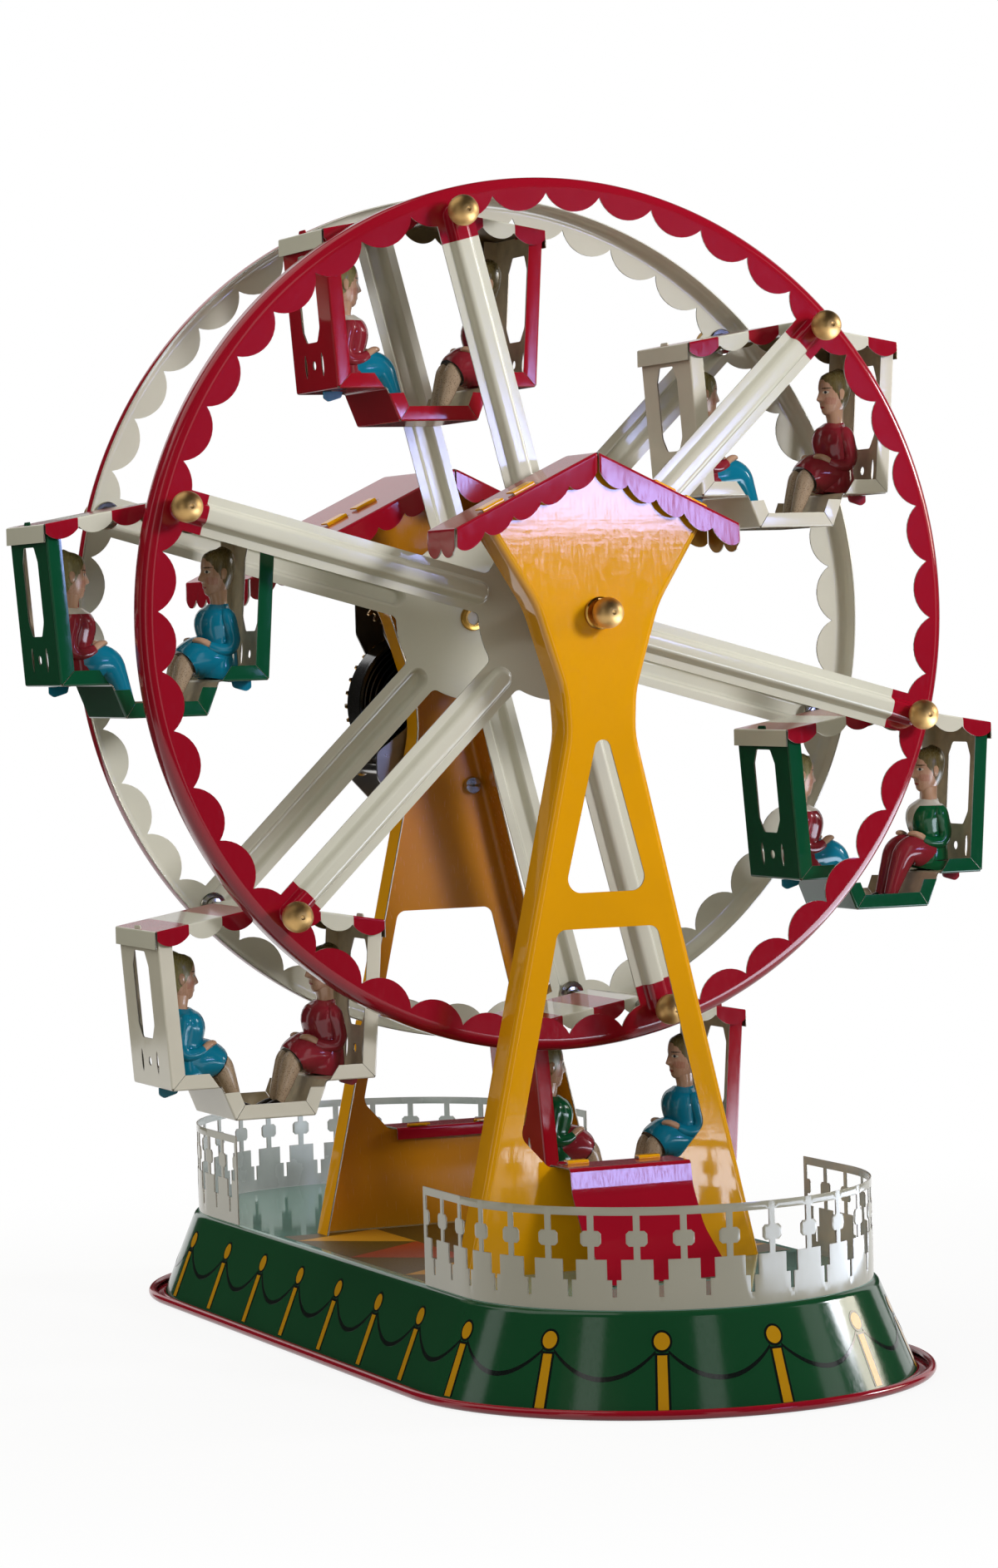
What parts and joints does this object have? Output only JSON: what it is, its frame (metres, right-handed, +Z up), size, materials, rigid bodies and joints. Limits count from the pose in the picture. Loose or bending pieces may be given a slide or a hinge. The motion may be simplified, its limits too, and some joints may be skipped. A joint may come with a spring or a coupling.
{
  "type": "wind-up tin ferris wheel",
  "caption": "Wind-up tin ferris wheel toy: a spoked wheel with canopied gondolas turns between two roofed towers on a fenced oval base, driven by a key-wound spring motor.",
  "frame": {"origin": "centre of the base, on the surface it stands on", "axes": "+Z up, the wheel's axle along Y, front tower on the -Y side, rear tower and key on the +Y side"},
  "size_m": [0.296, 0.358, 0.3355],
  "materials": {
    "base_green": "gloss",
    "fence_white": "gloss",
    "tower_orange": "gloss",
    "roof_red": "gloss",
    "wheel_cream": "gloss",
    "brass": "polished",
    "steel_plate": "satin",
    "drum_black": "satin",
    "spring_steel": "satin",
    "gondola_red": "gloss",
    "gondola_cream": "gloss",
    "gondola_green": "gloss",
    "canopy_stripes": "gloss",
    "passenger_colours": "gloss"
  },
  "bodies": {
    "structure": {"base_pan": "base_green", "fence_front": "fence_white", "fence_rear": "fence_white", "tower_front": "tower_orange", "tower_rear": "tower_orange", "roof_front": "roof_red", "roof_rear": "roof_red", "ramp_front": "roof_red", "ramp_rear": "roof_red", "front_bush": "brass", "motor_plate_front": "steel_plate", "motor_plate_rear": "steel_plate", "motor_pillars": "steel_plate", "motor_screws": "steel_plate"},
    "wheel": {"wheel_side_front": "wheel_cream", "wheel_side_rear": "wheel_cream", "rim_ball_nuts": "brass", "front_axle": "steel_plate", "hub_ball_nut": "brass", "output_arbor": "brass", "output_pinion": "steel_plate", "output_wheel": "brass", "rod_1": "steel_plate", "rod_2": "steel_plate", "rod_3": "steel_plate", "rod_4": "steel_plate", "rod_5": "steel_plate", "rod_6": "steel_plate"},
    "gondola_1": {"gondola_body_1": "gondola_red", "gondola_roof_1": "canopy_stripes", "passengers_1": "passenger_colours"},
    "gondola_2": {"gondola_body_2": "gondola_cream", "gondola_roof_2": "canopy_stripes", "passengers_2": "passenger_colours"},
    "gondola_3": {"gondola_body_3": "gondola_green", "gondola_roof_3": "canopy_stripes", "passengers_3": "passenger_colours"},
    "gondola_4": {"gondola_body_4": "gondola_red", "gondola_roof_4": "canopy_stripes", "passengers_4": "passenger_colours"},
    "gondola_5": {"gondola_body_5": "gondola_cream", "gondola_roof_5": "canopy_stripes", "passengers_5": "passenger_colours"},
    "gondola_6": {"gondola_body_6": "gondola_green", "gondola_roof_6": "canopy_stripes", "passengers_6": "passenger_colours"},
    "spring_drive": {"spring_barrel": "drum_black", "great_wheel": "brass", "mainspring": "spring_steel"},
    "winder": {"winding_arbor": "steel_plate", "ratchet_wheel": "steel_plate", "winding_key": "steel_plate"},
    "click": {"winding_click": "steel_plate"},
    "third_arbor": {"third_pinion": "steel_plate", "third_wheel": "brass"},
    "governor": {"fly_pinion": "steel_plate", "fly_fan": "brass"}
  },
  "joints": [
    {"name": "wheel_spin", "type": "hinge", "parent": "structure", "child": "wheel", "pos_m": [0, -0.01425, 0.2105], "axis": [0, 1, 0], "continuous": true},
    {"name": "gondola_1_hang", "type": "hinge", "parent": "wheel", "child": "gondola_1", "pos_m": [-0.02872, -0.01425, 0.32485], "axis": [0, 1, 0], "continuous": true},
    {"name": "gondola_2_hang", "type": "hinge", "parent": "wheel", "child": "gondola_2", "pos_m": [0.08467, -0.01425, 0.29255], "axis": [0, 1, 0], "continuous": true},
    {"name": "gondola_3_hang", "type": "hinge", "parent": "wheel", "child": "gondola_3", "pos_m": [0.11339, -0.01425, 0.1782], "axis": [0, 1, 0], "continuous": true},
    {"name": "gondola_4_hang", "type": "hinge", "parent": "wheel", "child": "gondola_4", "pos_m": [0.02872, -0.01425, 0.09615], "axis": [0, 1, 0], "continuous": true},
    {"name": "gondola_5_hang", "type": "hinge", "parent": "wheel", "child": "gondola_5", "pos_m": [-0.08467, -0.01425, 0.12845], "axis": [0, 1, 0], "continuous": true},
    {"name": "gondola_6_hang", "type": "hinge", "parent": "wheel", "child": "gondola_6", "pos_m": [-0.11339, -0.01425, 0.2428], "axis": [0, 1, 0], "continuous": true},
    {"name": "barrel_turn", "type": "hinge", "parent": "structure", "child": "spring_drive", "pos_m": [0, 0.06175, 0.1845], "axis": [0, 1, 0], "continuous": true},
    {"name": "third_arbor_turn", "type": "hinge", "parent": "structure", "child": "third_arbor", "pos_m": [-0.01247, 0.05575, 0.2177], "axis": [0, 1, 0], "continuous": true},
    {"name": "governor_turn", "type": "hinge", "parent": "structure", "child": "governor", "pos_m": [-0.00389, 0.05575, 0.2249], "axis": [0, 1, 0], "continuous": true},
    {"name": "key_wind", "type": "hinge", "parent": "structure", "child": "winder", "pos_m": [0, 0.07575, 0.1845], "axis": [0, 1, 0], "range_deg": [-1800, 0]},
    {"name": "click_lift", "type": "hinge", "parent": "structure", "child": "click", "pos_m": [0.0085, 0.07075, 0.193], "axis": [0, 1, 0], "range_deg": [0, 8]}
  ],
  "couplings": [
    {"joint": "gondola_1_hang", "follows": "wheel_spin", "ratio": -1},
    {"joint": "gondola_2_hang", "follows": "wheel_spin", "ratio": -1},
    {"joint": "gondola_3_hang", "follows": "wheel_spin", "ratio": -1},
    {"joint": "gondola_4_hang", "follows": "wheel_spin", "ratio": -1},
    {"joint": "gondola_5_hang", "follows": "wheel_spin", "ratio": -1},
    {"joint": "gondola_6_hang", "follows": "wheel_spin", "ratio": -1},
    {"joint": "barrel_turn", "follows": "wheel_spin", "ratio": -0.25},
    {"joint": "third_arbor_turn", "follows": "wheel_spin", "ratio": -3},
    {"joint": "governor_turn", "follows": "wheel_spin", "ratio": 7.5}
  ]
}
